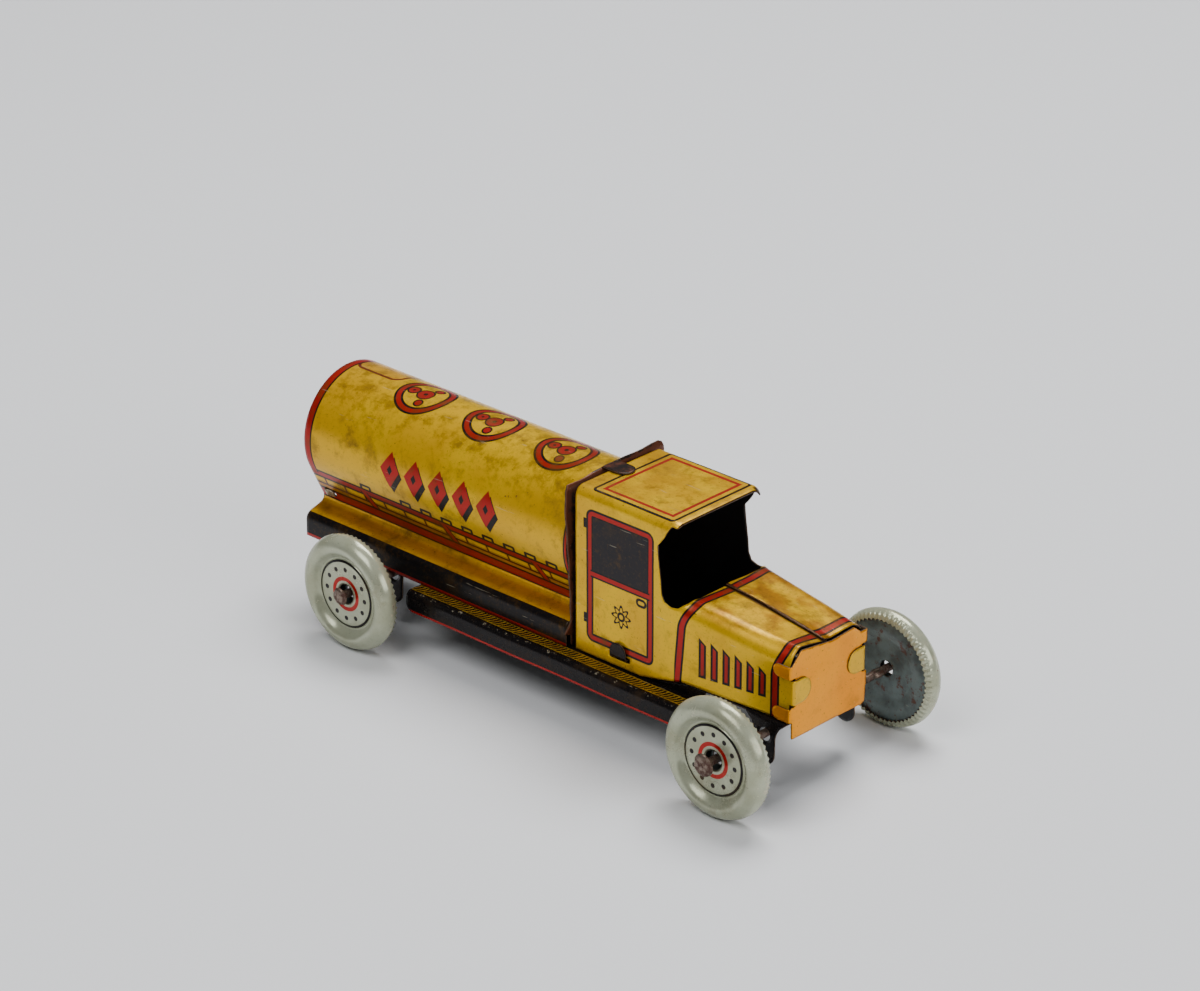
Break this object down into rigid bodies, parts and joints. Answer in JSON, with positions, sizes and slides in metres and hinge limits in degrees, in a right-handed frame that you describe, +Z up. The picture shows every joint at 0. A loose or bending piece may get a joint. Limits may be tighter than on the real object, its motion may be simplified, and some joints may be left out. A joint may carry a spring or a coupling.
{
  "type": "toy tanker truck",
  "caption": "Tinplate toy tanker truck with a round tank body, an open-windscreen cab and hood, a black chassis with running boards, and pressed two-part wheels that turn on wire axles",
  "frame": {"origin": "on the floor under the middle of the overall box, the wheels standing on z = 0", "axes": "+X is forward, towards the nose plate; +Y is the truck's left side; +Z is up"},
  "size_m": [0.1432, 0.0624, 0.0519],
  "materials": {
    "tank_print": "glossy lithographed tin, yellow with red and black print, worn",
    "tank_end_print": "glossy lithographed tin, yellow with a red rim",
    "bulkhead_tin": "black varnish, rusted along its raw edge",
    "cab_print": "glossy lithographed tin, yellow with red and black lining, black inside",
    "nose_paint": "smooth orange-yellow paint",
    "chassis_print": "glossy black print with yellow tread marks and a red edge, rubbed",
    "axle_steel": "browned steel wire with hammered heads",
    "wheel_print": "glossy pale grey-green print with a black ring, dots and a red ring",
    "wheel_back_paint": "blue-grey varnish, slightly rusted"
  },
  "bodies": {
    "body": {"tank_shell": "tank_print", "tank_rear_end": "tank_end_print", "bulkhead": "bulkhead_tin", "cab_body": "cab_print", "nose_plate": "nose_paint", "chassis": "chassis_print"},
    "front_axle": {"front_axle": "axle_steel"},
    "rear_axle": {"rear_axle": "axle_steel"},
    "wheel_front_left": {"wheel_front_left_outer": "wheel_print", "wheel_front_left_inner": "wheel_back_paint"},
    "wheel_front_right": {"wheel_front_right_outer": "wheel_print", "wheel_front_right_inner": "wheel_back_paint"},
    "wheel_rear_left": {"wheel_rear_left_outer": "wheel_print", "wheel_rear_left_inner": "wheel_back_paint"},
    "wheel_rear_right": {"wheel_rear_right_outer": "wheel_print", "wheel_rear_right_inner": "wheel_back_paint"}
  },
  "joints": [
    {"name": "front_axle_turn", "type": "hinge", "parent": "body", "child": "front_axle", "pos_m": [0.0586, 0, 0.013], "axis": [0, 1, 0], "continuous": true},
    {"name": "rear_axle_turn", "type": "hinge", "parent": "body", "child": "rear_axle", "pos_m": [-0.0466, 0, 0.013], "axis": [0, 1, 0], "continuous": true},
    {"name": "wheel_front_left_turn", "type": "hinge", "parent": "front_axle", "child": "wheel_front_left", "pos_m": [0.0586, 0.0264, 0.013], "axis": [0, 1, 0], "continuous": true},
    {"name": "wheel_front_right_turn", "type": "hinge", "parent": "front_axle", "child": "wheel_front_right", "pos_m": [0.0586, -0.0264, 0.013], "axis": [0, 1, 0], "continuous": true},
    {"name": "wheel_rear_left_turn", "type": "hinge", "parent": "rear_axle", "child": "wheel_rear_left", "pos_m": [-0.0466, 0.0252, 0.013], "axis": [0, 1, 0], "continuous": true},
    {"name": "wheel_rear_right_turn", "type": "hinge", "parent": "rear_axle", "child": "wheel_rear_right", "pos_m": [-0.0466, -0.0252, 0.013], "axis": [0, 1, 0], "continuous": true}
  ]
}
